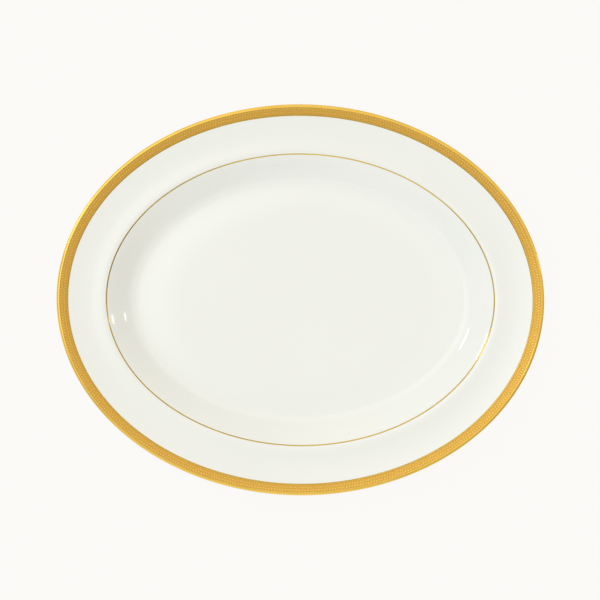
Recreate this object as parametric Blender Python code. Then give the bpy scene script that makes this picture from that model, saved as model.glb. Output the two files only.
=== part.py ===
"""A 16 inch oval china serving platter with a gold edge and an etched gold band.

The platter stands on its foot ring at z = 0, its length runs along X, and the origin lies on the
resting plane under the middle of the oval. Every feature round it keeps one distance from the outer
edge, its inset, measured inwards and square to that edge, so all lines run parallel to the lip.
Sizes are in metres.
"""

import math

import bmesh
import bpy

# The platter as a whole
PLATTER_LENGTH = 0.406
PLATTER_WIDTH = 0.3256
PLATTER_HEIGHT = 0.029

# Rim: from the lip it dips to its lowest line, then rises a little to the crest of the verge.
# Every slope is a drop over its run.
RIM_RUN = 0.029  # from the outer edge in to the rim's lowest line
RIM_DROP = 0.0038
LIP_FALL = 0.24  # slope of the rim at the lip
LIP_THICKNESS = 0.003
RIM_THICKNESS = 0.0034
RIM_UNDER_FALL = 0.03  # slope of the underside below the rim's lowest line

# Verge: the rounded turn from the crest of the rim down into the well
CREST_RUN = 0.0085  # from the rim's lowest line in to the crest
CREST_RISE = 0.0004
VERGE_RUN = 0.0058
VERGE_DROP = 0.0022
VERGE_THICKNESS = 0.004
VERGE_UNDER_FALL = 0.50

# Well: the wall runs down to a low moat, and the middle of the floor stands higher
WALL_FALL = 0.76  # slope of the wall at its top
WALL_RUN = 0.0227
FLOOR_THICKNESS = 0.0045
CROWN_RUN = 0.040
CROWN_RISE = 0.0020

# Foot ring: the unglazed ring under the floor that the platter stands on
FOOT_HEIGHT = 0.004
FOOT_SETBACK = 0.0041  # how far the ring's outer side stands outside the moat's lowest line
FOOT_WIDTH = 0.0038
FOOT_TAPER = 0.0012
FOOT_ROOT_FALL = 0.30  # slope of the wall's underside where it meets the foot

# Gold: four strips, each laid in a recess of the china
EDGE_LAP = 0.0006  # how far the edge strip runs past the rounded lip, on top
EDGE_UNDER_LAP = 0.0015  # and underneath
BAND_WIDTH = 0.0059
BORDER_LINE_WIDTH = 0.0007
VERGE_LINE_SETBACK = 0.0032  # from the crest in to the line on the verge
VERGE_LINE_WIDTH = 0.0010
GOLD_LAYER = 0.00035
CLEARANCE = 0.0003  # between any two pieces that touch on the real platter

# Facets
FACETS_ROUND = 80
RIM_STEPS = 7
WALL_STEPS = 9
UNDERSIDE_STEPS = 12
CROWN_STEPS = 5
LIP_QUARTER_STEPS = 3
CREASE_ANGLE = math.radians(35)

# Colours, linear RGB
CHINA_COLOUR = (0.871, 0.888, 0.799)
POLISHED_GOLD_COLOUR = (0.823, 0.533, 0.153)
ETCHED_GOLD_COLOUR = (0.665, 0.382, 0.084)

# Places that follow from the sizes above
HALF_LENGTH = PLATTER_LENGTH / 2
HALF_WIDTH = PLATTER_WIDTH / 2
LIP_RADIUS = LIP_THICKNESS / 2
LIP_PITCH = math.atan(LIP_FALL)
LIP_CENTRE_HEIGHT = PLATTER_HEIGHT - LIP_RADIUS
CREST_INSET = RIM_RUN + CREST_RUN
WALL_TOP_INSET = CREST_INSET + VERGE_RUN
FLOOR_EDGE_INSET = WALL_TOP_INSET + WALL_RUN
FOOT_INSET = FLOOR_EDGE_INSET - FOOT_SETBACK
MOAT_HEIGHT = FOOT_HEIGHT + FLOOR_THICKNESS
RECESS_DEPTH = GOLD_LAYER + CLEARANCE
VERGE_LINE_INSET = CREST_INSET + VERGE_LINE_SETBACK


def clear_scene():
    """Remove every object that the file opened with."""
    for thing in list(bpy.data.objects):
        bpy.data.objects.remove(thing, do_unlink=True)


def oval_point(angle, inset):
    """The plan position on the oval that lies inset inside the outer edge."""
    along_x = HALF_WIDTH * math.cos(angle)
    along_y = HALF_LENGTH * math.sin(angle)
    reach = math.hypot(along_x, along_y)
    x = HALF_LENGTH * math.cos(angle) - inset * along_x / reach
    y = HALF_WIDTH * math.sin(angle) - inset * along_y / reach
    return x, y


def oval_ring(inset, height, shrink=1.0):
    """The points of one turn round the platter, drawn towards the middle by shrink."""
    ring = []
    for step in range(FACETS_ROUND):
        x, y = oval_point(2 * math.pi * step / FACETS_ROUND, inset)
        ring.append((x * shrink, y * shrink, height))
    return ring


def surface_point(knots, inset):
    """The height and the slope at an inset on the smooth line through (inset, height, fall) knots."""
    ends = list(zip(knots, knots[1:]))
    start, end = next((pair for pair in ends if inset <= pair[1][0]), ends[-1])
    run = end[0] - start[0]
    share = (inset - start[0]) / run
    rest = 1 - share
    height = rest * rest * (1 + 2 * share) * start[1] - share * rest * rest * run * start[2]
    height += share * share * (3 - 2 * share) * end[1] + share * share * rest * run * end[2]
    fall = rest * (1 - 3 * share) * start[2] + 6 * share * rest * (start[1] - end[1]) / run
    fall += share * (3 * share - 2) * end[2]
    return height, fall


def lip_points(radius):
    """The rounded nose of the lip at one radius, from its underside over the edge to its top."""
    under = 3 * math.pi / 2 - LIP_PITCH
    turns = [under, (under + math.pi) / 2]
    for step in range(LIP_QUARTER_STEPS + 1):
        turns.append(math.pi - math.pi / 2 * step / LIP_QUARTER_STEPS)
    turns.append(math.pi / 2 - LIP_PITCH)
    points = []
    for turn in turns:
        inset = LIP_RADIUS + radius * math.cos(turn)
        points.append((inset, LIP_CENTRE_HEIGHT + radius * math.sin(turn)))
    return points


# Where the curves of the section start and end, and the strips of gold that follow the lip
LIP_UNDER = lip_points(LIP_RADIUS)[0]
LIP_TOP = lip_points(LIP_RADIUS)[-1]
EDGE_UNDER_INSET = LIP_UNDER[0] + EDGE_UNDER_LAP
EDGE_INSET = LIP_TOP[0] + EDGE_LAP
BAND_INSET = EDGE_INSET + CLEARANCE
BORDER_LINE_INSET = BAND_INSET + BAND_WIDTH + CLEARANCE
RECESS_END_INSET = BORDER_LINE_INSET + BORDER_LINE_WIDTH + CLEARANCE
RIM_LOW_HEIGHT = LIP_TOP[1] - RIM_DROP
CREST_HEIGHT = RIM_LOW_HEIGHT + CREST_RISE
UPPER_SURFACE = [
    (*LIP_TOP, LIP_FALL),
    (RIM_RUN, RIM_LOW_HEIGHT, 0.0),
    (CREST_INSET, CREST_HEIGHT, 0.0),
    (WALL_TOP_INSET, CREST_HEIGHT - VERGE_DROP, WALL_FALL),
    (FLOOR_EDGE_INSET, MOAT_HEIGHT, 0.0),
]


def upper(inset, depth=0.0):
    """A point at the given depth below the upper surface, from the lip to the moat."""
    return inset, surface_point(UPPER_SURFACE, inset)[0] - depth


def verge_under():
    """The point of the underside that faces the line on the verge, square to the surface there."""
    line_middle = VERGE_LINE_INSET + VERGE_LINE_WIDTH / 2
    height, fall = surface_point(UPPER_SURFACE, line_middle)
    pitch = math.atan(fall)
    across, down = VERGE_THICKNESS * math.sin(pitch), VERGE_THICKNESS * math.cos(pitch)
    return line_middle - across, height - down


FOOT_ROOT = (FOOT_INSET - FOOT_TAPER, FOOT_HEIGHT)
LOWER_SURFACE = [
    (*LIP_UNDER, LIP_FALL),
    (RIM_RUN, RIM_LOW_HEIGHT - RIM_THICKNESS, RIM_UNDER_FALL),
    (*verge_under(), VERGE_UNDER_FALL),
    (*FOOT_ROOT, FOOT_ROOT_FALL),
]


def lower(inset, depth=0.0):
    """A point at the given depth inside the lower surface, from the lip to the foot ring."""
    return inset, surface_point(LOWER_SURFACE, inset)[0] + depth


def points_between(surface, first, last, steps):
    """Points along a surface at even insets, without the first and the last one."""
    return [surface(first + (last - first) * step / steps) for step in range(1, steps)]


def body_section():
    """The china's outline from the underside's middle, out round the lip and back to the floor."""
    foot_inner = FOOT_INSET + FOOT_WIDTH
    recess_under = EDGE_UNDER_INSET + CLEARANCE
    groove_start = VERGE_LINE_INSET - CLEARANCE
    groove_end = VERGE_LINE_INSET + VERGE_LINE_WIDTH + CLEARANCE
    section = [(foot_inner + FOOT_TAPER, FOOT_HEIGHT), (foot_inner, 0.0), (FOOT_INSET, 0.0)]
    section.append(FOOT_ROOT)
    section += points_between(lower, FOOT_ROOT[0], recess_under, UNDERSIDE_STEPS)
    section += [lower(recess_under), lower(recess_under, RECESS_DEPTH)]
    section += lip_points(LIP_RADIUS - RECESS_DEPTH)
    section += [upper(RECESS_END_INSET, RECESS_DEPTH), upper(RECESS_END_INSET)]
    section += points_between(upper, RECESS_END_INSET, groove_start, RIM_STEPS)
    section += [upper(groove_start), upper(groove_start, RECESS_DEPTH)]
    section += [upper(groove_end, RECESS_DEPTH), upper(groove_end)]
    section += points_between(upper, groove_end, FLOOR_EDGE_INSET, WALL_STEPS)
    section.append((FLOOR_EDGE_INSET, MOAT_HEIGHT))
    return section


def crown_rings():
    """The rings of the floor from the moat up to the level middle."""
    least_shrink = 1 - CROWN_RUN / (HALF_LENGTH - FLOOR_EDGE_INSET)
    rings = []
    for step in range(1, CROWN_STEPS + 1):
        share = step / CROWN_STEPS
        height = MOAT_HEIGHT + CROWN_RISE * share * share * (6 - 8 * share + 3 * share * share)
        rings.append(oval_ring(FLOOR_EDGE_INSET, height, 1 + share * (least_shrink - 1)))
    return rings


def gold_edge_section():
    """The strip of gold that wraps the lip from its underside to the top of the rim."""
    outer = [lower(EDGE_UNDER_INSET)]
    outer += lip_points(LIP_RADIUS)
    outer.append(upper(EDGE_INSET))
    inner = [lower(EDGE_UNDER_INSET, GOLD_LAYER)]
    inner += lip_points(LIP_RADIUS - GOLD_LAYER)
    inner.append(upper(EDGE_INSET, GOLD_LAYER))
    return outer + inner[::-1]


def gold_strip_section(inset, width):
    """A flat strip of gold, its top flush with the china beside it."""
    under = [upper(inset + width, GOLD_LAYER), upper(inset, GOLD_LAYER)]
    return [*under, upper(inset), upper(inset + width)]


def finish(name, colour, roughness, metallic):
    """A plain surface finish."""
    material = bpy.data.materials.new(name)
    material.use_nodes = True
    shader = material.node_tree.nodes["Principled BSDF"]
    shader.inputs["Base Color"].default_value = (*colour, 1.0)
    shader.inputs["Roughness"].default_value = roughness
    shader.inputs["Metallic"].default_value = metallic
    material.diffuse_color = (*colour, 1.0)
    return material


def add_piece(name, rings, capped, material):
    """Join rings of points into one closed piece: capped at both ends, or round on itself."""
    shape = bmesh.new()
    loops = [[shape.verts.new(point) for point in ring] for ring in rings]
    pairs = list(zip(loops, loops[1:]))
    if capped:
        shape.faces.new(reversed(loops[0]))
        shape.faces.new(loops[-1])
    else:
        pairs.append((loops[-1], loops[0]))
    for near, far in pairs:
        for step in range(FACETS_ROUND):
            after = (step + 1) % FACETS_ROUND
            shape.faces.new((near[step], near[after], far[after], far[step]))
    mesh = bpy.data.meshes.new(name)
    shape.to_mesh(mesh)
    shape.free()
    mesh.materials.append(material)
    mesh.shade_smooth()
    mesh.set_sharp_from_angle(angle=CREASE_ANGLE)
    piece = bpy.data.objects.new(name, mesh)
    bpy.context.scene.collection.objects.link(piece)
    return piece


def section_rings(section):
    """One ring of points for each point of a section."""
    return [oval_ring(inset, height) for inset, height in section]


def make_china_body():
    """The one fired piece: floor, well wall, rim, lip and foot ring."""
    material = finish("ivory_china", CHINA_COLOUR, 0.15, 0.0)
    add_piece("china_body", section_rings(body_section()) + crown_rings(), True, material)


def make_gold():
    """The four strips of fired-on gold."""
    polished = finish("polished_gold", POLISHED_GOLD_COLOUR, 0.2, 1.0)
    etched = finish("etched_gold", ETCHED_GOLD_COLOUR, 0.4, 1.0)
    edge = gold_edge_section()
    band = gold_strip_section(BAND_INSET, BAND_WIDTH)
    border = gold_strip_section(BORDER_LINE_INSET, BORDER_LINE_WIDTH)
    verge = gold_strip_section(VERGE_LINE_INSET, VERGE_LINE_WIDTH)
    add_piece("gold_edge", section_rings(edge), False, polished)
    add_piece("etched_gold_band", section_rings(band), False, etched)
    add_piece("gold_border_line", section_rings(border), False, polished)
    add_piece("gold_verge_line", section_rings(verge), False, polished)


clear_scene()
make_china_body()
make_gold()
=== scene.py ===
"""Looks of a large oval china serving platter: glazed body, gold edge, etched gold band and lines.

Every line round the platter keeps one distance from the outer edge, its inset, measured inwards and
square to that edge. A section is a list of (inset, shrink, height, relief) points, where shrink
draws a ring towards the middle and relief marks the burnished high parts of the gold.
"""

import math

import bmesh
import bpy
from bpy.props import FloatProperty, FloatVectorProperty, IntProperty, PointerProperty
from mathutils import Matrix, Vector


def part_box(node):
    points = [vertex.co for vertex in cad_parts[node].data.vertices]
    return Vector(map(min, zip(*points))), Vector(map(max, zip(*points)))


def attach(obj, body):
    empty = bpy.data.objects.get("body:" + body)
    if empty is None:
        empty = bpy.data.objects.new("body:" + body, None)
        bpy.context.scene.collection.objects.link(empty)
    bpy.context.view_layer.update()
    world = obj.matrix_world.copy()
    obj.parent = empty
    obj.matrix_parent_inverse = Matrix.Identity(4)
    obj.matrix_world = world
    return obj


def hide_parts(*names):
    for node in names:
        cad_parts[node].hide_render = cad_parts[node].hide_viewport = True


bl_info = {
    "name": "Oval serving platter",
    "version": (1, 0, 0),
    "blender": (4, 5, 0),
    "location": "3D View > Sidebar > Platter",
    "description": "Glazed oval platter with a gold edge, an etched gold band and two gold lines",
    "category": "Add Mesh",
}

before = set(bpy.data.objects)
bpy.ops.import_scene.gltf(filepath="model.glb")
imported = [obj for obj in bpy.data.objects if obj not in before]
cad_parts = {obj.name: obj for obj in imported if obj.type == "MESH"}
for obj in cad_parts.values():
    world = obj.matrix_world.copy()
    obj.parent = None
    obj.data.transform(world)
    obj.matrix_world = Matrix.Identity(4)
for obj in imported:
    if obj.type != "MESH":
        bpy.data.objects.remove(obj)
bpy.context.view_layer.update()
BODY = "root"


def reach(node):
    """How far a node reaches along X from the middle of the platter."""
    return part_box(node)[1].x


HALF_LENGTH = reach("gold_edge")
HALF_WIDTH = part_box("gold_edge")[1].y
TOP_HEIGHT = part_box("gold_edge")[1].z
BAND_INSET = HALF_LENGTH - reach("etched_gold_band")
BORDER_INSET = HALF_LENGTH - reach("gold_border_line")
VERGE_LINE_INSET = HALF_LENGTH - reach("gold_verge_line")

# Past the stretched side of the lip by this much, the rim's own curve goes on
NOSE_MARGIN = 0.00018
# Share of its row's width that a motif takes up
MOTIF_FILL = 0.94
# Edges sharper than these stay creased
SWEEP_CREASE = math.radians(40)
BAND_CREASE = math.radians(50)
# Tiny iron specks in the glaze
SPECK_COLOUR = (0.55, 0.50, 0.38)
# Points closer than this are one
WELD = 1e-6
# Length of the outer edge as a multiple of the half length, for the layout of streaks
ROUND_SHARE = 5.7
# Fine enough for even steps between the motifs
CIRCLE_STEPS = 1440

# Name, angle from straight up, angle from +X towards +Y, distance, (width, height), watts
LIGHTS = (
    ("key_softbox", 60.0, 154.6, 2.2, (0.46, 0.20), 2.4),
    ("low_lamp", 70.0, 13.0, 2.0, (0.16, 0.08), 0.6),
)
# Where the brighter and darker parts of the sky are, seen from the platter
BEHIND = (0.30, 0.95, 0.0)
OVERHEAD_LEFT = (-0.36, 0.17, 0.917)
HIGH_LEFT = (-0.70, 0.12, 0.70)
HIGH_FRONT = (-0.20, -0.79, 0.58)
FRONT = (-0.30, -0.954, 0.0)
RIGHT = (0.94, 0.34, 0.0)
COOL_SIDE = (-0.90, -0.43, 0.0)
# The camera stands this far off the middle, along X and Y
CAMERA_OFFSET = (-0.00033, -0.00017)
FLOOR_HALF = 4.0
# The floor lies this far below the foot, so that the two don't share a plane
FLOOR_DROP = 0.0002


# Sizes and colours


def length(name, description, default, **more):
    """A size in metres, shown in the file's units."""
    return FloatProperty(
        name=name, description=description, default=default, min=0.0,
        unit="LENGTH", subtype="DISTANCE", precision=5, **more,
    )


def number(name, description, default, **more):
    """A plain number or share."""
    return FloatProperty(name=name, description=description, default=default, **more)


def colour(name, description, default):
    """A linear colour."""
    return FloatVectorProperty(
        name=name, description=description, default=default,
        size=3, min=0.0, max=1.0, subtype="COLOR",
    )


class PlatterSizes(bpy.types.PropertyGroup):
    """Sizes of the china."""

    half_length: length("Half length", "Half of the platter's length", HALF_LENGTH)
    half_width: length("Half width", "Half of the platter's width", HALF_WIDTH)
    height: length("Height", "From the foot to the top of the lip", TOP_HEIGHT)
    rim_run: length("Rim run", "From the outer edge in to the rim's lowest line", 0.029)
    rim_drop: length("Rim drop", "From the top of the lip down to the rim's lowest line", 0.0038)
    lip_fall: number("Lip fall", "Slope of the rim at the lip, drop over run", 0.24)
    lip_thickness: length("Lip thickness", "Thickness of the rounded lip", 0.003)
    lip_stretch: number("Lip stretch", "How much wider than round the lip's upper outer side is", 1.45)
    rim_thickness: length("Rim thickness", "Thickness of the china at the rim's lowest line", 0.0034)
    rim_under_fall: number("Rim under fall", "Slope of the underside below that line", 0.03)
    crest_run: length("Crest run", "From the rim's lowest line in to the crest", 0.0085)
    crest_rise: length("Crest rise", "Rise of the crest over the rim's lowest line", 0.0004)
    verge_run: length("Verge run", "From the crest in to the top of the wall", 0.0058)
    verge_drop: length("Verge drop", "From the crest down to the top of the wall", 0.0022)
    verge_thickness: length("Verge thickness", "Thickness of the china at the verge", 0.004)
    verge_under_fall: number("Verge under fall", "Slope of the underside at the verge", 0.50)
    wall_fall: number("Wall fall", "Slope of the wall at its top", 0.76)
    wall_run: length("Wall run", "From the top of the wall in to the lowest line of the well", 0.0227)
    floor_thickness: length("Floor thickness", "Thickness of the floor at that line", 0.0045)
    crown_run: length("Crown run", "From the lowest line in to the level floor", 0.040)
    crown_rise: length("Crown rise", "Rise of the level floor over the lowest line", 0.0020)
    foot_height: length("Foot height", "Height of the foot ring", 0.004)
    foot_setback: length("Foot setback", "From the lowest line out to the foot's outer side", 0.0041)
    foot_width: length("Foot width", "Width of the foot ring where it stands", 0.0038)
    foot_taper: length("Foot taper", "How much the foot widens upwards on each side", 0.0012)
    foot_root_fall: number("Foot root fall", "Slope of the underside where it meets the foot", 0.30)
    foot_round: length("Foot rounding", "Rounding of the foot's edges", 0.0007)
    steps_round: IntProperty(name="Steps round", description="Facets round the oval", default=480, min=48)


class GoldSizes(bpy.types.PropertyGroup):
    """Sizes of the gold and of its etched pattern."""

    layer: length("Layer", "Thickness of the gold strips", 0.00023)
    recess: length("Recess", "Depth of the china under the gold", 0.00025)
    seam: length("Seam", "Gap between two neighbouring strips", 0.00006)
    strip_round: length("Strip rounding", "Rounding of a strip's long edges", 0.00008)
    under_lap: length("Under lap", "How far the edge gold runs under the lip", 0.0015)
    line_width: length("Border line width", "Width of the line inside the band", 0.0007)
    verge_line_width: length("Verge line width", "Width of the line on the verge", 0.0010)
    etch_depth: length("Etch depth", "Depth of the etched ground under the high parts", 0.00012)
    fillet: length("Fillet", "Width of the smooth lines beside and between the rows", 0.00026)
    upper_place: number("Upper place", "The line between ribs and rungs, as a share of the band", 0.45)
    lower_place: number("Lower place", "The line between rungs and reeds, as a share of the band", 0.75)
    repeats: IntProperty(name="Repeats", description="Repeats of the pattern round the rim", default=486)
    rib_width: number("Rib width", "Width of a rib or a rung as a share of the pitch", 0.56)
    reed_width: number("Reed width", "Width of a reed as a share of the pitch", 0.26)


class Finishes(bpy.types.PropertyGroup):
    """Colours of the china, the gold and the studio."""

    china: colour("China", "Ivory-white glaze", (0.886, 0.903, 0.849))
    bisque: colour("Bisque", "Bare clay on the foot", (0.72, 0.66, 0.55))
    etched_gold: colour("Etched gold", "Matt ground of the band", (0.66, 0.38, 0.066))
    # Lighter than the etched ground: partly the burnished finish, partly painted sheen
    burnished_gold: colour("Burnished gold", "High parts of the band", (0.78, 0.49, 0.105))
    polished_gold: colour("Polished gold", "Edge", (0.85, 0.55, 0.10))
    # Darker than the edge's gold: painted shade standing in for the dark reflection of the fine lines
    line_gold: colour("Line gold", "The two fine lines", (0.62, 0.44, 0.07))
    floor: colour("Floor", "Pale floor", (0.965, 0.956, 0.939))


class StudioSizes(bpy.types.PropertyGroup):
    """Camera and lights."""

    camera_height: length("Camera height", "Camera above the top of the lip", 1.6)
    half_view: length("Half view", "Half of the width seen at the lip", 0.24955)
    camera_turn: FloatProperty(
        name="Camera turn", description="Turn of the camera about the upright axis",
        default=math.radians(0.65), subtype="ANGLE",
    )
    sky: number("Sky", "Brightness of the soft light from all round", 0.808)
    sky_lean: number("Sky lean", "How much brighter the soft light is behind than in front", 0.41)
    horizon_lean: number("Horizon lean", "The same close to the horizon", 0.62)
    overhead: number("Overhead", "Extra brightness overhead", 0.08)
    upper_panel: number("Upper panel", "Extra brightness of the panel overhead on the left", 0.75)
    front_panel: number("Front panel", "Extra brightness of the panel in front", 0.45)
    side_panel: number("Side panel", "Extra brightness half way up on the left", 0.05)
    low_sky: number("Low sky", "Extra brightness low down in front", 0.62)
    low_shade: number("Low shade", "Loss of brightness on the right", 0.45)
    cool: colour("Cool side", "Tint of the light from the left and in front", (0.965, 0.98, 1.0))
    warm: colour("Warm side", "Tint of the light from the right and behind", (1.0, 0.955, 0.89))
    floor_glow: number("Floor glow", "Share of the floor's brightness that is its own", 0.92)


def sizes(context):
    """The four groups of sizes and colours."""
    scene = context.scene
    return scene.platter_sizes, scene.platter_gold, scene.platter_finishes, scene.platter_studio


# The platter's cross-section


def surface_point(knots, inset):
    """The height and the slope at an inset on the smooth line through (inset, height, fall) knots."""
    ends = list(zip(knots, knots[1:]))
    start, end = next((pair for pair in ends if inset <= pair[1][0]), ends[-1])
    run = end[0] - start[0]
    share = (inset - start[0]) / run
    rest = 1 - share
    height = rest * rest * (1 + 2 * share) * start[1] - share * rest * rest * run * start[2]
    height += share * share * (3 - 2 * share) * end[1] + share * share * rest * run * end[2]
    fall = rest * (1 - 3 * share) * start[2] + 6 * share * rest * (start[1] - end[1]) / run
    fall += share * (3 * share - 2) * end[2]
    return height, fall


def spaced(first, last, steps):
    """Even values from first to last, both included."""
    return [first + (last - first) * step / steps for step in range(steps + 1)]


def rounded(points, radius, steps=4):
    """The (inset, height) points with every inner corner rounded."""
    made = [points[0]]
    for before, corner, after in zip(points, points[1:], points[2:]):
        here = Vector(corner)
        start = here + (Vector(before) - here).normalized() * radius
        end = here + (Vector(after) - here).normalized() * radius
        for share in spaced(0.0, 1.0, steps):
            made.append(tuple(start.lerp(here, share).lerp(here.lerp(end, share), share)))
    return [*made, points[-1]]


class Profile:
    """The curves that the china and the gold follow."""

    def __init__(self, china, gold):
        self.china, self.gold = china, gold
        self.lip_radius = china.lip_thickness / 2
        self.lip_pitch = math.atan(china.lip_fall)
        self.lip_height = china.height - self.lip_radius
        self.lip_under = self.lip(self.lip_radius, 4)[0]
        self.lip_top = (
            self.lip_radius * (1 + math.sin(self.lip_pitch)),
            self.lip_height + self.lip_radius * math.cos(self.lip_pitch),
        )
        self.nose_end = self.lip_radius * china.lip_stretch + NOSE_MARGIN
        low = self.lip_top[1] - china.rim_drop
        crest = (china.rim_run + china.crest_run, low + china.crest_rise)
        wall_top = (crest[0] + china.verge_run, crest[1] - china.verge_drop)
        self.floor_edge = (wall_top[0] + china.wall_run, china.foot_height + china.floor_thickness)
        self.foot_inset = self.floor_edge[0] - china.foot_setback
        self.foot_root = (self.foot_inset - china.foot_taper, china.foot_height)
        self.upper_line = [
            (*self.lip_top, china.lip_fall), (china.rim_run, low, 0.0), (*crest, 0.0),
            (*wall_top, china.wall_fall), (*self.floor_edge, 0.0),
        ]
        middle = VERGE_LINE_INSET + gold.verge_line_width / 2
        height, fall = surface_point(self.upper_line, middle)
        pitch = math.atan(fall)
        across = china.verge_thickness * math.sin(pitch)
        down = china.verge_thickness * math.cos(pitch)
        self.lower_line = [
            (*self.lip_under, china.lip_fall),
            (china.rim_run, low - china.rim_thickness, china.rim_under_fall),
            (middle - across, height - down, china.verge_under_fall),
            (*self.foot_root, china.foot_root_fall),
        ]

    def lip(self, radius, steps):
        """The rounded nose of the lip at one radius, from underneath over the edge to the top."""
        turns = spaced(1.5 * math.pi - self.lip_pitch, math.pi, steps)
        points = [
            (self.lip_radius + radius * math.cos(turn), self.lip_height + radius * math.sin(turn))
            for turn in turns
        ]
        outer, stretch = self.lip_radius - radius, self.china.lip_stretch
        for turn in spaced(math.pi, math.pi / 2, 2 * steps)[1:]:
            inset = outer + radius * stretch * (1 + math.cos(turn))
            points.append((inset, self.lip_height + radius * math.sin(turn)))
        return points

    def top(self, inset, depth=0.0):
        """A point at the given depth below the upper surface, from the lip to the lowest line."""
        return inset, surface_point(self.upper_line, inset)[0] - depth

    def under(self, inset, depth=0.0):
        """A point at the given depth inside the lower surface, from the lip to the foot ring."""
        return inset, surface_point(self.lower_line, inset)[0] + depth

    def fall(self, inset):
        """Slope of the upper surface at an inset, drop over run."""
        return surface_point(self.upper_line, inset)[1]

    def gold_ends(self):
        """Insets where the gold starts under the lip and where the border line ends."""
        return self.lip_under[0] + self.gold.under_lap, BORDER_INSET + self.gold.line_width

    def body(self):
        """The china from the middle of the underside, out over the lip and back to the floor."""
        china, recess = self.china, self.gold.recess
        foot_inner = self.foot_inset + china.foot_width
        under_start, top_end = self.gold_ends()
        inner_root = (foot_inner + china.foot_taper, china.foot_height)
        points = [(inner_root[0], shrink, inner_root[1]) for shrink in (0.0, 0.3, 0.6, 0.8, 0.92)]
        foot = [
            (inner_root[0] + 0.004, inner_root[1]), inner_root, (foot_inner, 0.0),
            (self.foot_inset, 0.0), self.foot_root,
        ]
        below = [self.under(inset) for inset in spaced(self.foot_root[0], under_start, 30)]
        line = rounded([*foot, below[1]], china.foot_round) + below[2:]
        line += [self.under(under_start, recess)]
        line += self.lip(self.lip_radius - recess, 6)
        line += [self.top(inset, recess) for inset in spaced(self.nose_end, top_end, 6)]
        groove = (VERGE_LINE_INSET, VERGE_LINE_INSET + self.gold.verge_line_width)
        line += [self.top(inset) for inset in spaced(top_end, groove[0], 36)]
        line += [self.top(inset, recess) for inset in groove]
        line += [self.top(inset) for inset in spaced(groove[1], self.floor_edge[0], 34)]
        points += [(inset, 1.0, height) for inset, height in line]
        least = 1 - china.crown_run / (china.half_length - self.floor_edge[0])
        for share in spaced(0.0, 1.0, 12)[1:]:
            rise = china.crown_rise * share * share * (6 - 8 * share + 3 * share * share)
            points.append((self.floor_edge[0], 1 + share * (least - 1), self.floor_edge[1] + rise))
        for share in (0.86, 0.7, 0.5, 0.3, 0.15, 0.0):
            points.append((self.floor_edge[0], least * share, points[-1][2]))
        return points

    def edge_gold(self):
        """The gold that wraps the lip, as one closed outline."""
        layer, rounding = self.gold.layer, self.gold.strip_round
        start, end = self.gold_ends()[0], BAND_INSET
        outer = [self.under(start, layer), self.under(start, rounding)]
        outer += [self.under(inset) for inset in spaced(start - rounding, self.lip_under[0], 4)[:-1]]
        outer += self.lip(self.lip_radius, 8)
        outer += [self.top(inset) for inset in spaced(self.nose_end, end - rounding, 2)]
        outer += [self.top(end, rounding)]
        inner = [self.top(inset, layer) for inset in (end, self.nose_end)]
        inner += self.lip(self.lip_radius - layer, 5)[::-1]
        return closed(outer + inner)

    def strip(self, start, end, rises=()):
        """A flat strip of gold as one closed outline. Each rise is (start, end) of a high line."""
        layer, rounding = self.gold.layer, self.gold.strip_round
        depth = self.gold.etch_depth if rises else 0.0
        upper = []
        for first, last in rises or [(start, end)]:
            upper += [
                (*self.top(first, depth), 0.0), (*self.top(first + rounding / 2), 1.0),
                (*self.top(last - rounding / 2), 1.0), (*self.top(last, depth), 0.0),
            ]
        if not rises:
            upper[0] = (*self.top(start, rounding), 1.0)
            upper[-1] = (*self.top(end, rounding), 1.0)
            upper[1] = (*self.top(start + rounding), 1.0)
            upper[2] = (*self.top(end - rounding), 1.0)
        lower = [(*self.top(end, layer), 0.0), (*self.top(start, layer), 0.0)]
        return closed([*upper, *lower])


def closed(outline):
    """Section points of an outline that comes back to its start."""
    points = [(point[0], 1.0, point[1], point[2] if len(point) > 2 else 1.0) for point in outline]
    return [*points, points[0]]


# Geometry Nodes


def add_node(tree, kind, inputs=None, **settings):
    """A node with its settings and its inputs, each input a value or another node's output."""
    node = tree.nodes.new(kind)
    for name, value in settings.items():
        setattr(node, name, value)
    for key, value in (inputs or {}).items():
        if isinstance(value, bpy.types.NodeSocket):
            tree.links.new(value, node.inputs[key])
        else:
            node.inputs[key].default_value = value
    return node


def calc(tree, operation, first, second=0.0):
    """The output of a Math node."""
    return add_node(tree, "ShaderNodeMath", {0: first, 1: second}, operation=operation).outputs[0]


def plus(tree, first, second):
    """The sum of two values."""
    return calc(tree, "ADD", first, second)


def times(tree, first, second):
    """The product of two values."""
    return calc(tree, "MULTIPLY", first, second)


def parts_of(tree, vector):
    """The X, Y and Z of a vector."""
    return add_node(tree, "ShaderNodeSeparateXYZ", {0: vector}).outputs


def own_place(tree):
    """The position of each point of a geometry."""
    return add_node(tree, "GeometryNodeInputPosition").outputs["Position"]


def vector_calc(tree, operation, **inputs):
    """A Vector Math node, its inputs named first, second and scale."""
    keys = {"first": 0, "second": 1, "scale": "Scale"}
    values = {keys[name]: value for name, value in inputs.items()}
    return add_node(tree, "ShaderNodeVectorMath", values, operation=operation)


def new_tree(name, inputs, kind="GeometryNodeTree"):
    """A node tree with named inputs, each (name, socket type, default)."""
    tree = bpy.data.node_groups.new(name, kind)
    for label, socket_type, default in inputs:
        socket = tree.interface.new_socket(label, in_out="INPUT", socket_type=socket_type)
        if default is not None:
            socket.default_value = default
    return tree


def oval_position(tree, given, cosine, sine, inset):
    """X and Y on the oval at an inset, from the cosine and sine of the turn."""
    along_x = times(tree, given["Half Width"], cosine)
    along_y = times(tree, given["Half Length"], sine)
    squares = plus(tree, calc(tree, "POWER", along_x, 2.0), calc(tree, "POWER", along_y, 2.0))
    share = calc(tree, "DIVIDE", inset, calc(tree, "SQRT", squares))
    outer_x = times(tree, given["Half Length"], cosine)
    outer_y = times(tree, given["Half Width"], sine)
    x = calc(tree, "SUBTRACT", outer_x, times(tree, along_x, share))
    y = calc(tree, "SUBTRACT", outer_y, times(tree, along_y, share))
    return x, y


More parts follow.
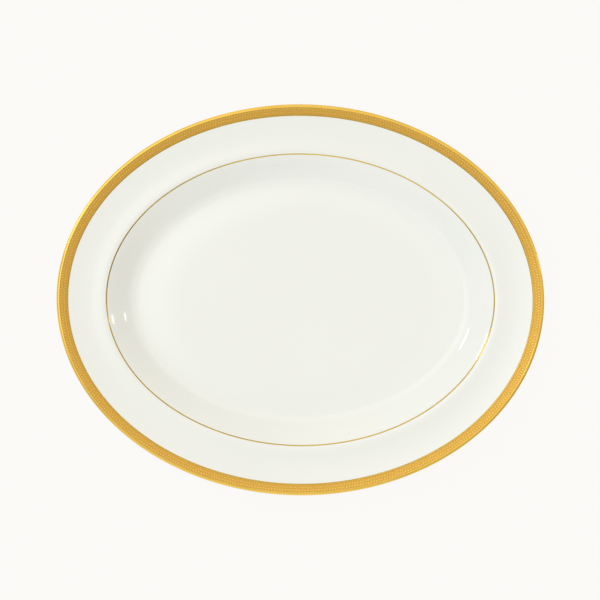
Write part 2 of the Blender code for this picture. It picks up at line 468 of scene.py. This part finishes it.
def oval_sweep_tree():
    """Sweeps a section round the oval and closes it on itself."""
    tree = new_tree("oval_sweep", [
        ("Geometry", "NodeSocketGeometry", None),
        ("Half Length", "NodeSocketFloat", 0.2),
        ("Half Width", "NodeSocketFloat", 0.16),
        ("Steps Round", "NodeSocketInt", 480),
        ("Section", "NodeSocketObject", None),
        ("Material", "NodeSocketMaterial", None),
    ])
    tree.interface.new_socket("Geometry", in_out="OUTPUT", socket_type="NodeSocketGeometry")
    given = add_node(tree, "NodeGroupInput").outputs
    section = add_node(tree, "GeometryNodeObjectInfo", {"Object": given["Section"]}).outputs["Geometry"]
    count = add_node(tree, "GeometryNodeAttributeDomainSize", {"Geometry": section}).outputs["Point Count"]
    size_x = calc(tree, "SUBTRACT", count, 1.0)
    steps = given["Steps Round"]
    grid = add_node(tree, "GeometryNodeMeshGrid", {
        "Size X": size_x, "Size Y": steps, "Vertices X": count, "Vertices Y": plus(tree, steps, 1.0),
    }).outputs["Mesh"]
    place = parts_of(tree, own_place(tree))
    row = calc(tree, "ROUND", plus(tree, place["X"], times(tree, size_x, 0.5)))
    turn = plus(tree, calc(tree, "DIVIDE", place["Y"], steps), 0.5)
    angle = times(tree, turn, 2 * math.pi)
    sampled = add_node(tree, "GeometryNodeSampleIndex", {
        "Geometry": section, "Value": own_place(tree), "Index": row,
    }, data_type="FLOAT_VECTOR").outputs["Value"]
    own = add_node(tree, "GeometryNodeInputNamedAttribute", {"Name": "relief"}, data_type="FLOAT")
    relief = add_node(tree, "GeometryNodeSampleIndex", {
        "Geometry": section, "Value": own.outputs["Attribute"], "Index": row,
    }).outputs["Value"]
    parts = parts_of(tree, sampled)
    cosine, sine = calc(tree, "COSINE", angle), calc(tree, "SINE", angle)
    x, y = oval_position(tree, given, cosine, sine, parts["X"])
    position = add_node(tree, "ShaderNodeCombineXYZ", {
        0: times(tree, x, parts["Y"]), 1: times(tree, y, parts["Y"]), 2: parts["Z"],
    }).outputs[0]
    around = times(tree, turn, times(tree, given["Half Length"], ROUND_SHARE))
    across = add_node(tree, "ShaderNodeCombineXYZ", {0: around, 1: parts["X"]}).outputs[0]
    swept = add_node(tree, "GeometryNodeStoreNamedAttribute", {
        "Geometry": grid, "Name": "UVMap", "Value": across,
    }, data_type="FLOAT2", domain="CORNER").outputs[0]
    swept = add_node(tree, "GeometryNodeStoreNamedAttribute", {
        "Geometry": swept, "Name": "relief", "Value": relief,
    }, data_type="FLOAT", domain="POINT").outputs[0]
    swept = add_node(tree, "GeometryNodeSetPosition", {"Geometry": swept, "Position": position}).outputs[0]
    swept = add_node(tree, "GeometryNodeMergeByDistance", {"Geometry": swept, "Distance": WELD}).outputs[0]
    finish_tree(tree, swept, given["Material"])
    return tree


def motif_row_tree():
    """Sets a motif at even steps round the oval, tilted to the rim, and joins it to the strip."""
    tree = new_tree("motif_row", [
        ("Geometry", "NodeSocketGeometry", None),
        ("Half Length", "NodeSocketFloat", 0.2),
        ("Half Width", "NodeSocketFloat", 0.16),
        ("Inset", "NodeSocketFloat", 0.005),
        ("Height", "NodeSocketFloat", 0.036),
        ("Fall", "NodeSocketFloat", 0.3),
        ("Repeats", "NodeSocketInt", 486),
        ("Half Steps", "NodeSocketInt", 0),
        ("Motif", "NodeSocketObject", None),
        ("Material", "NodeSocketMaterial", None),
    ])
    tree.interface.new_socket("Geometry", in_out="OUTPUT", socket_type="NodeSocketGeometry")
    given = add_node(tree, "NodeGroupInput").outputs
    circle = add_node(tree, "GeometryNodeCurvePrimitiveCircle", {
        "Resolution": CIRCLE_STEPS, "Radius": 1.0,
    }).outputs[0]
    place = parts_of(tree, own_place(tree))
    x, y = oval_position(tree, given, place["X"], place["Y"], given["Inset"])
    position = add_node(tree, "ShaderNodeCombineXYZ", {0: x, 1: y, 2: given["Height"]}).outputs[0]
    oval = add_node(tree, "GeometryNodeSetPosition", {"Geometry": circle, "Position": position}).outputs[0]
    points = add_node(tree, "GeometryNodeCurveToPoints", {
        "Curve": oval, "Count": times(tree, given["Repeats"], 2.0),
    }, mode="COUNT").outputs
    up = (0.0, 0.0, 1.0)
    inward = vector_calc(tree, "CROSS_PRODUCT", first=up, second=points["Tangent"]).outputs[0]
    leaning = vector_calc(tree, "SCALE", first=inward, scale=given["Fall"]).outputs[0]
    normal = vector_calc(tree, "ADD", first=leaning, second=up).outputs[0]
    rotation = add_node(tree, "FunctionNodeAxesToRotation", {
        "Primary Axis": normal, "Secondary Axis": points["Tangent"],
    }, primary_axis="Z", secondary_axis="X").outputs[0]
    index = add_node(tree, "GeometryNodeInputIndex").outputs[0]
    parity = calc(tree, "MODULO", plus(tree, index, given["Half Steps"]), 2.0)
    motif = add_node(tree, "GeometryNodeObjectInfo", {"Object": given["Motif"]}).outputs["Geometry"]
    placed = add_node(tree, "GeometryNodeInstanceOnPoints", {
        "Points": points["Points"], "Instance": motif, "Rotation": rotation,
        "Selection": calc(tree, "LESS_THAN", parity, 0.5),
    }).outputs[0]
    joined = add_node(tree, "GeometryNodeJoinGeometry", {"Geometry": given["Geometry"]})
    tree.links.new(placed, joined.inputs[0])
    finish_tree(tree, joined.outputs[0], given["Material"])
    return tree


def finish_tree(tree, geometry, material):
    """Ends a tree: instances made real, smooth faces and the material."""
    real = add_node(tree, "GeometryNodeRealizeInstances", {"Geometry": geometry}).outputs[0]
    smooth = add_node(tree, "GeometryNodeSetShadeSmooth", {"Geometry": real}).outputs[0]
    ready = add_node(tree, "GeometryNodeSetMaterial", {"Geometry": smooth, "Material": material}).outputs[0]
    add_node(tree, "NodeGroupOutput", {"Geometry": ready})


def tree_named(name, build):
    """A node tree that is built once and used again."""
    return bpy.data.node_groups.get(name) or build()


def add_modifier(piece, tree, values):
    """A Geometry Nodes modifier with its inputs set by the sockets' identifiers."""
    modifier = piece.modifiers.new(tree.name, "NODES")
    modifier.node_group = tree
    for socket in tree.interface.items_tree:
        if socket.in_out == "INPUT" and socket.name in values:
            modifier[socket.identifier] = values[socket.name]
    return modifier


def guide(name, points):
    """A loose set of section points for a tree to read. It is removed when the piece is made."""
    mesh = bpy.data.meshes.new(name)
    mesh.from_pydata([point[:3] for point in points], [], [])
    relief = mesh.attributes.new("relief", "FLOAT", "POINT")
    relief.data.foreach_set("value", [point[3] if len(point) > 3 else 0.0 for point in points])
    made = bpy.data.objects.new(name, mesh)
    bpy.context.scene.collection.objects.link(made)
    return made


def remove(*things):
    """Take guides out of the file."""
    for thing in things:
        mesh = thing.data
        bpy.data.objects.remove(thing)
        bpy.data.meshes.remove(mesh)


def new_piece(name):
    """An empty piece for the modifiers to fill. A piece made before under that name goes."""
    if name in bpy.data.objects:
        bpy.data.objects.remove(bpy.data.objects[name])
    piece = bpy.data.objects.new(name, bpy.data.meshes.new(name))
    bpy.context.scene.collection.objects.link(piece)
    return piece


def make_plain(piece, crease):
    """Turn the modifiers' result into the piece's own closed mesh, faces outwards."""
    bpy.context.view_layer.update()
    depsgraph = bpy.context.evaluated_depsgraph_get()
    mesh = bpy.data.meshes.new_from_object(
        piece.evaluated_get(depsgraph), preserve_all_data_layers=True, depsgraph=depsgraph)
    piece.modifiers.clear()
    piece.data, mesh.name = mesh, piece.name
    shape = bmesh.new()
    shape.from_mesh(mesh)
    bmesh.ops.remove_doubles(shape, verts=shape.verts, dist=WELD / 10)
    bmesh.ops.recalc_face_normals(shape, faces=shape.faces)
    shape.to_mesh(mesh)
    shape.free()
    mesh.set_sharp_from_angle(angle=crease)


def start_sweep(name, section, china, material):
    """A piece with the sweep of its section round the oval, and the guide that holds the section."""
    piece, line = new_piece(name), guide(name + "_section", section)
    add_modifier(piece, tree_named("oval_sweep", oval_sweep_tree), {
        "Half Length": china.half_length, "Half Width": china.half_width,
        "Steps Round": china.steps_round, "Section": line, "Material": material,
    })
    return piece, line


def sweep(name, section, china, material):
    """A finished piece whose section runs round the oval."""
    piece, line = start_sweep(name, section, china, material)
    make_plain(piece, SWEEP_CREASE)
    remove(line)
    return piece


def stand_for(piece, node):
    """Put a finished piece in the place of its CAD node."""
    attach(piece, BODY)
    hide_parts(node)


def dome(name, half_width, half_length, height, sides=12, square=2.0, point=0.0, burnish=1.0):
    """A low closed dome on the XY plane: round, squarish, or drawn to a point along +Y."""
    shape = bmesh.new()
    relief = shape.verts.layers.float.new("relief")
    levels = [(1.0, -0.35, 0.0), (0.93, 0.45, 0.5), (0.66, 0.92, 1.0)]
    loops = []
    for size, level, mark in levels:
        loop = []
        for step in range(sides):
            turn = 2 * math.pi * step / sides
            c, s = math.cos(turn), math.sin(turn)
            x = math.copysign(abs(c) ** (2 / square), c)
            y = math.copysign(abs(s) ** (2 / square), s)
            narrow = 1 - point * (y + 1) / 2
            vert = shape.verts.new((x * size * half_width * narrow, y * size * half_length, level * height))
            vert[relief] = mark * burnish
            loop.append(vert)
        loops.append(loop)
    crown = shape.verts.new((0.0, 0.0, height))
    crown[relief] = burnish
    for near, far in zip(loops, loops[1:]):
        for step in range(sides):
            after = (step + 1) % sides
            shape.faces.new((near[step], near[after], far[after], far[step]))
    for step in range(sides):
        shape.faces.new((loops[-1][step], loops[-1][(step + 1) % sides], crown))
    shape.faces.new(reversed(loops[0]))
    mesh = bpy.data.meshes.new(name)
    shape.to_mesh(mesh)
    shape.free()
    made = bpy.data.objects.new(name, mesh)
    bpy.context.scene.collection.objects.link(made)
    return made


# Materials


def handling_marks_group():
    """Soft smudges and fine wiping scratches that a glossy surface picks up in use."""
    group = new_tree("handling_marks", [
        ("Vector", "NodeSocketVector", None),
        ("Smudge Scale", "NodeSocketFloat", 60.0),
        ("Scratch Scale", "NodeSocketFloat", 900.0),
        ("Seed", "NodeSocketFloat", 0.0),
    ], "ShaderNodeTree")
    for label in ("Smudge", "Scratch"):
        group.interface.new_socket(label, in_out="OUTPUT", socket_type="NodeSocketFloat")
    given = add_node(group, "NodeGroupInput").outputs
    moved = vector_calc(group, "ADD", first=given["Vector"], second=given["Seed"]).outputs[0]
    smudge = add_node(group, "ShaderNodeTexNoise", {
        "Vector": moved, "Scale": given["Smudge Scale"], "Detail": 4.0, "Roughness": 0.6, "Distortion": 0.6,
    }).outputs["Fac"]
    stretched = vector_calc(group, "MULTIPLY", first=moved, second=(1.0, 0.08, 0.3)).outputs[0]
    scratch = add_node(group, "ShaderNodeTexNoise", {
        "Vector": stretched, "Scale": given["Scratch Scale"], "Detail": 3.0, "Roughness": 0.7,
    }).outputs["Fac"]
    fine = add_node(group, "ShaderNodeMapRange", {
        "Value": scratch, "From Min": 0.62, "From Max": 0.72,
    }).outputs[0]
    add_node(group, "NodeGroupOutput", {"Smudge": smudge, "Scratch": fine})
    return group


def material_named(name, build):
    """A material that is built once and used again. The names differ from the CAD's own ones."""
    return bpy.data.materials.get(name) or build(name)


def new_material(name):
    """An empty node material with its shader and its Object coordinates."""
    material = bpy.data.materials.new(name)
    material.use_nodes = True
    tree = material.node_tree
    shader = tree.nodes["Principled BSDF"]
    place = add_node(tree, "ShaderNodeTexCoord").outputs["Object"]
    return material, tree, shader, place


def marks(tree, place, **values):
    """The handling marks group in a material, with its own values."""
    group = add_node(tree, "ShaderNodeGroup", node_tree=tree_named("handling_marks", handling_marks_group))
    tree.links.new(place, group.inputs["Vector"])
    for name, value in values.items():
        group.inputs[name.replace("_", " ").title()].default_value = value
    return group.outputs["Smudge"], group.outputs["Scratch"]


def mix(tree, share, first, second):
    """A colour mixed from two, by a share."""
    node = add_node(tree, "ShaderNodeMix", data_type="RGBA")
    for key, value in ((0, share), (6, first), (7, second)):
        if isinstance(value, bpy.types.NodeSocket):
            tree.links.new(value, node.inputs[key])
        elif key == 0:
            node.inputs[key].default_value = value
        else:
            node.inputs[key].default_value = (*value, 1.0)
    return node.outputs[2]


def noise(tree, place, scale, detail=2.0):
    """The value of a noise pattern."""
    inputs = {"Vector": place, "Scale": scale, "Detail": detail}
    return add_node(tree, "ShaderNodeTexNoise", inputs).outputs["Fac"]


def span(tree, value, low, high, from_low=0.0, from_high=1.0, smooth=False):
    """A value moved from one range to another and kept inside it."""
    kind = "SMOOTHSTEP" if smooth else "LINEAR"
    return add_node(tree, "ShaderNodeMapRange", {
        "Value": value, "From Min": from_low, "From Max": from_high, "To Min": low, "To Max": high,
    }, interpolation_type=kind).outputs[0]


def raise_surface(tree, shader, height, strength):
    """Feed a height in metres to the shader's normal."""
    bump = add_node(tree, "ShaderNodeBump", {"Height": height, "Strength": strength, "Distance": 1.0})
    tree.links.new(bump.outputs[0], shader.inputs["Normal"])


def shade(colour_value, amount):
    """A colour made lighter or darker."""
    return tuple(min(1.0, channel * amount) for channel in colour_value)


def glazed_china(name):
    """Glazed china: ivory white, faintly uneven, with a bare foot."""
    material, tree, shader, place = new_material(name)
    finishes = bpy.context.scene.platter_finishes
    china, bisque = tuple(finishes.china), tuple(finishes.bisque)
    smudge, scratch = marks(tree, place, smudge_scale=18.0, scratch_scale=420.0, seed=3.1)
    cloud = noise(tree, place, 7.0, detail=3.0)
    body = mix(tree, span(tree, cloud, 0.0, 1.0, 0.3, 0.7), shade(china, 0.992), shade(china, 1.008))
    cells = add_node(tree, "ShaderNodeTexVoronoi", {"Vector": place, "Scale": 130.0})
    speck = span(tree, cells.outputs["Distance"], 1.0, 0.0, 0.020, 0.045)
    chance = add_node(tree, "ShaderNodeSeparateColor", {0: cells.outputs["Color"]}).outputs[0]
    rare = times(tree, speck, calc(tree, "GREATER_THAN", chance, 0.93))
    body = mix(tree, times(tree, rare, 0.30), body, SPECK_COLOUR)
    height = parts_of(tree, place)["Z"]
    # Painted light: the china is made about 3 percent lighter low down, on the floor of the well, to cancel
    # the shade that gathers there
    painted_floor_light = span(tree, height, 1.0, 0.0, 0.0090, 0.0112, smooth=True)
    body = mix(tree, painted_floor_light, body, shade(china, 1.032))
    grain = noise(tree, place, 1600.0)
    edge = plus(tree, height, times(tree, calc(tree, "SUBTRACT", smudge, 0.5), 0.0003))
    bare = span(tree, edge, 1.0, 0.0, 0.0005, 0.0007)
    clay = mix(tree, grain, shade(bisque, 0.9), shade(bisque, 1.08))
    tree.links.new(mix(tree, bare, body, clay), shader.inputs["Base Color"])
    gloss = plus(tree, span(tree, smudge, 0.055, 0.11, 0.3, 0.7), times(tree, scratch, 0.04))
    rough = plus(tree, gloss, times(tree, bare, 0.6))
    tree.links.new(rough, shader.inputs["Roughness"])
    ripple = noise(tree, place, 38.0, detail=1.0)
    rough_clay = times(tree, times(tree, grain, bare), 0.0001)
    raise_surface(tree, shader, plus(tree, times(tree, ripple, 0.00006), rough_clay), 0.5)
    shader.inputs["IOR"].default_value = 1.52
    return material


def etched_gilding(name):
    """The band: a matt ground with burnished high parts, whose lighter, paler gold is partly their
    burnished finish and partly painted sheen.
    """
    material, tree, shader, place = new_material(name)
    finishes = bpy.context.scene.platter_finishes
    smudge, scratch = marks(tree, place, smudge_scale=45.0, scratch_scale=1500.0, seed=7.7)
    relief = add_node(tree, "ShaderNodeAttribute", attribute_name="relief").outputs["Fac"]
    grain = noise(tree, place, 5200.0)
    ground = mix(tree, grain, shade(finishes.etched_gold, 0.92), shade(finishes.etched_gold, 1.06))
    # The high parts get a lighter, paler gold: partly their burnished finish, partly painted sheen
    high = mix(tree, smudge, shade(finishes.burnished_gold, 0.95), shade(finishes.burnished_gold, 1.05))
    tree.links.new(mix(tree, relief, ground, high), shader.inputs["Base Color"])
    burnish = span(tree, relief, 0.42, 0.24)
    rough = plus(tree, burnish, span(tree, smudge, -0.03, 0.05, 0.3, 0.7))
    tree.links.new(plus(tree, rough, times(tree, scratch, 0.05)), shader.inputs["Roughness"])
    shader.inputs["Metallic"].default_value = 1.0
    depth = times(tree, grain, span(tree, relief, 0.00003, 0.000006))
    raise_surface(tree, shader, depth, 0.6)
    return material


def polished_gilding(name, tint="polished_gold"):
    """The edge in bright gold and the lines in a darker tint of painted shade, both with the faint streaks
    of the banding wheel.
    """
    material, tree, shader, place = new_material(name)
    tint = getattr(bpy.context.scene.platter_finishes, tint)
    smudge, scratch = marks(tree, place, smudge_scale=32.0, scratch_scale=1300.0, seed=1.9)
    layout = add_node(tree, "ShaderNodeUVMap", uv_map="UVMap").outputs[0]
    along = vector_calc(tree, "MULTIPLY", first=layout, second=(14.0, 4200.0, 1.0)).outputs[0]
    streak = noise(tree, along, 1.0)
    worn = span(tree, smudge, 0.0, 1.0, 0.35, 0.68)
    gold = mix(tree, worn, shade(tint, 0.95), shade(tint, 1.04))
    gold = mix(tree, times(tree, scratch, 0.25), gold, shade(tint, 0.8))
    tree.links.new(gold, shader.inputs["Base Color"])
    wiped = span(tree, smudge, 0.13, 0.22, 0.3, 0.7)
    rough = plus(tree, wiped, span(tree, streak, -0.03, 0.04, 0.3, 0.7))
    tree.links.new(plus(tree, rough, times(tree, scratch, 0.06)), shader.inputs["Roughness"])
    shader.inputs["Metallic"].default_value = 1.0
    depth = plus(tree, times(tree, streak, 0.000004), times(tree, smudge, 0.00001))
    raise_surface(tree, shader, depth, 0.6)
    return material


def line_gilding(name):
    """The fine lines: the same gold with a darker tint, painted shade that stands in for the dark
    reflection the thin lines show.
    """
    return polished_gilding(name, "line_gold")


# Operators: one for each piece or group of like pieces, and one for the stage


class PLATTER_OT_china_body(bpy.types.Operator):
    """Sweep the glazed body round the oval: foot ring, wall, rim, lip and floor"""

    bl_idname = "platter.china_body"
    bl_label = "China body"

    def execute(self, context):
        china, gold, _, _ = sizes(context)
        material = material_named("glazed_china", glazed_china)
        piece = sweep("platter_china", Profile(china, gold).body(), china, material)
        stand_for(piece, "china_body")
        return {"FINISHED"}


class PLATTER_OT_gold_edge(bpy.types.Operator):
    """Wrap the lip in polished gold"""

    bl_idname = "platter.gold_edge"
    bl_label = "Gold edge"

    def execute(self, context):
        china, gold, _, _ = sizes(context)
        material = material_named("polished_gilding", polished_gilding)
        piece = sweep("platter_gold_edge", Profile(china, gold).edge_gold(), china, material)
        stand_for(piece, "gold_edge")
        return {"FINISHED"}


class PLATTER_OT_etched_band(bpy.types.Operator):
    """Lay the etched band: a row of ribs, one of rungs between them and one of fine reeds"""

    bl_idname = "platter.etched_band"
    bl_label = "Etched band"

    def execute(self, context):
        china, gold, _, _ = sizes(context)
        profile = Profile(china, gold)
        start, end = BAND_INSET + gold.seam, BORDER_INSET - gold.seam
        width, half = end - start, gold.fillet / 2
        upper, lower = start + width * gold.upper_place, start + width * gold.lower_place
        rises = [
            (start, start + gold.fillet), (upper - half, upper + half),
            (lower - half, lower + half), (end - gold.fillet, end),
        ]
        material = material_named("etched_gilding", etched_gilding)
        section = profile.strip(start, end, rises)
        piece, line = start_sweep("platter_etched_band", section, china, material)
        pitch = math.pi * (china.half_length + china.half_width - 2 * upper) / gold.repeats
        rows = [(near[1], far[0]) for near, far in zip(rises, rises[1:])]
        motifs = []
        for name, row, share, steps, burnish, more in (
            ("rib", rows[0], gold.rib_width, (0,), 1.0, {"sides": 12, "square": 3.4}),
            ("rung", rows[1], gold.rib_width, (1,), 1.0, {"sides": 12, "square": 3.4}),
            ("reed", rows[2], gold.reed_width, (0, 1), 0.8, {"sides": 8, "point": 0.3}),
        ):
            inset = (row[0] + row[1]) / 2
            half_length = (row[1] - row[0]) / 2 * MOTIF_FILL
            motif = dome(name, pitch / 2 * share, half_length, gold.etch_depth, burnish=burnish, **more)
            motifs.append(motif)
            for half_steps in steps:
                add_modifier(piece, tree_named("motif_row", motif_row_tree), {
                    "Half Length": china.half_length, "Half Width": china.half_width, "Inset": inset,
                    "Height": profile.top(inset, gold.etch_depth)[1], "Fall": profile.fall(inset),
                    "Repeats": gold.repeats, "Half Steps": half_steps, "Motif": motif,
                    "Material": material,
                })
        make_plain(piece, BAND_CREASE)
        remove(line, *motifs)
        stand_for(piece, "etched_gold_band")
        return {"FINISHED"}


class PLATTER_OT_gold_lines(bpy.types.Operator):
    """Draw the two thin gold lines: inside the band, and on the verge"""

    bl_idname = "platter.gold_lines"
    bl_label = "Gold lines"

    def execute(self, context):
        china, gold, _, _ = sizes(context)
        profile = Profile(china, gold)
        material = material_named("line_gilding", line_gilding)
        border = profile.strip(BORDER_INSET, BORDER_INSET + gold.line_width)
        piece = sweep("platter_border_line", border, china, material)
        stand_for(piece, "gold_border_line")
        verge = profile.strip(VERGE_LINE_INSET, VERGE_LINE_INSET + gold.verge_line_width)
        piece = sweep("platter_verge_line", verge, china, material)
        stand_for(piece, "gold_verge_line")
        return {"FINISHED"}


class PLATTER_OT_stage(bpy.types.Operator):
    """Set up the pale floor, the soft studio light and the camera straight above"""

    bl_idname = "platter.stage"
    bl_label = "Stage"

    def execute(self, context):
        _, _, finishes, studio = sizes(context)
        add_floor(finishes, studio)
        add_sky(context.scene, studio)
        for name, zenith, azimuth, distance, size, power in LIGHTS:
            add_light(name, zenith, azimuth, distance, size, power)
        add_camera(context.scene, studio)
        return {"FINISHED"}


# Stage


def add_floor(finishes, studio):
    """A wide pale floor that gives back some light of its own, so its shadow stays faint."""
    shape = bmesh.new()
    bmesh.ops.create_grid(shape, x_segments=8, y_segments=8, size=FLOOR_HALF)
    mesh = bpy.data.meshes.new("pale_floor")
    shape.to_mesh(mesh)
    shape.free()
    mesh.transform(Matrix.Translation((0.0, 0.0, -FLOOR_DROP)))
    floor = bpy.data.objects.new("pale_floor", mesh)
    bpy.context.scene.collection.objects.link(floor)
    material, tree, shader, place = new_material("pale_floor")
    tint = tuple(finishes.floor)
    soft = noise(tree, place, 1.5)
    own = 1 - studio.floor_glow
    base = mix(tree, soft, shade(tint, own * 0.998), shade(tint, own * 1.002))
    tree.links.new(base, shader.inputs["Base Color"])
    shader.inputs["Roughness"].default_value = 0.9
    shader.inputs["Specular IOR Level"].default_value = 0.0
    shader.inputs["Emission Color"].default_value = (*tint, 1.0)
    shader.inputs["Emission Strength"].default_value = studio.floor_glow
    mesh.materials.append(material)


def add_sky(scene, studio):
    """Soft light from all round, brighter behind, with brighter panels on the left and in front."""
    world = bpy.data.worlds.new("studio_sky")
    scene.world = world
    world.use_nodes = True
    tree = world.node_tree
    background = tree.nodes["Background"]
    direction = add_node(tree, "ShaderNodeTexCoord").outputs["Generated"]
    rise = parts_of(tree, direction)["Z"]

    def facing(aim):
        return vector_calc(tree, "DOT_PRODUCT", first=direction, second=aim).outputs["Value"]

    def soft(value, amount, start, end):
        return span(tree, value, 0.0, amount, start, end, smooth=True)

    def both(first, second):
        return times(tree, first, second)

    lean = span(tree, rise, studio.horizon_lean, studio.sky_lean, 0.05, 0.50, smooth=True)
    strength = studio.sky
    for part in (
        both(facing(BEHIND), lean),
        soft(rise, studio.overhead, 0.60, 0.90),
        soft(facing(OVERHEAD_LEFT), studio.upper_panel, 0.92, 0.985),
        soft(facing(HIGH_FRONT), studio.front_panel, 0.82, 0.94),
        soft(facing(HIGH_LEFT), studio.side_panel, 0.60, 0.95),
        both(soft(facing(FRONT), studio.low_sky, 0.0, 0.60), soft(rise, 1.0, 0.75, 0.10)),
        both(soft(facing(RIGHT), -studio.low_shade, 0.10, 0.60), soft(rise, 1.0, 0.75, 0.40)),
    ):
        strength = plus(tree, strength, part)
    tree.links.new(strength, background.inputs["Strength"])
    side = span(tree, facing(COOL_SIDE), 0.0, 1.0, -0.6, 0.6, smooth=True)
    tree.links.new(mix(tree, side, tuple(studio.warm), tuple(studio.cool)), background.inputs["Color"])


def add_light(name, zenith, azimuth, distance, size, power):
    """A soft rectangular light that faces the middle of the platter."""
    lamp = bpy.data.lights.new(name, "AREA")
    lamp.shape, lamp.size, lamp.size_y, lamp.energy = "RECTANGLE", size[0], size[1], power
    light = bpy.data.objects.new(name, lamp)
    slant, turn = math.radians(zenith), math.radians(azimuth)
    away = Vector((math.sin(slant) * math.cos(turn), math.sin(slant) * math.sin(turn), math.cos(slant)))
    light.location = away * distance
    light.rotation_euler = away.to_track_quat("Z", "Y").to_euler()
    bpy.context.scene.collection.objects.link(light)


def add_camera(scene, studio):
    """A camera straight above, turned a little about the upright axis."""
    lens = bpy.data.cameras.new("camera")
    lens.sensor_width = 36.0
    lens.lens = lens.sensor_width / 2 * studio.camera_height / studio.half_view
    camera = bpy.data.objects.new("camera", lens)
    camera.location = (*CAMERA_OFFSET, TOP_HEIGHT + studio.camera_height)
    camera.rotation_euler = (0.0, 0.0, studio.camera_turn)
    scene.collection.objects.link(camera)
    scene.camera = camera
    scene.view_settings.view_transform = "Standard"


# Panel and registration


class PLATTER_PT_panel(bpy.types.Panel):
    """The pieces of the platter and its stage"""

    bl_idname = "PLATTER_PT_panel"
    bl_label = "Serving platter"
    bl_space_type = "VIEW_3D"
    bl_region_type = "UI"
    bl_category = "Platter"

    def draw(self, context):
        for group in sizes(context):
            box = self.layout.box()
            for name in group.bl_rna.properties.keys():
                if name not in ("rna_type", "name"):
                    box.prop(group, name)
        for operator in OPERATORS:
            self.layout.operator(operator.bl_idname)


GROUPS = {
    "platter_sizes": PlatterSizes,
    "platter_gold": GoldSizes,
    "platter_finishes": Finishes,
    "platter_studio": StudioSizes,
}
OPERATORS = (
    PLATTER_OT_china_body,
    PLATTER_OT_gold_edge,
    PLATTER_OT_etched_band,
    PLATTER_OT_gold_lines,
    PLATTER_OT_stage,
)


def register():
    """Add the classes and hang the sizes on the scene."""
    for name, group in GROUPS.items():
        bpy.utils.register_class(group)
        setattr(bpy.types.Scene, name, PointerProperty(type=group))
    for part in (*OPERATORS, PLATTER_PT_panel):
        bpy.utils.register_class(part)


def unregister():
    """Take everything away again."""
    for part in (PLATTER_PT_panel, *reversed(OPERATORS)):
        bpy.utils.unregister_class(part)
    for name, group in GROUPS.items():
        delattr(bpy.types.Scene, name)
        bpy.utils.unregister_class(group)


def main():
    """Make every piece in order."""
    register()
    bpy.ops.platter.china_body()
    bpy.ops.platter.gold_edge()
    bpy.ops.platter.etched_band()
    bpy.ops.platter.gold_lines()
    bpy.ops.platter.stage()


if __name__ == "__main__":
    main()
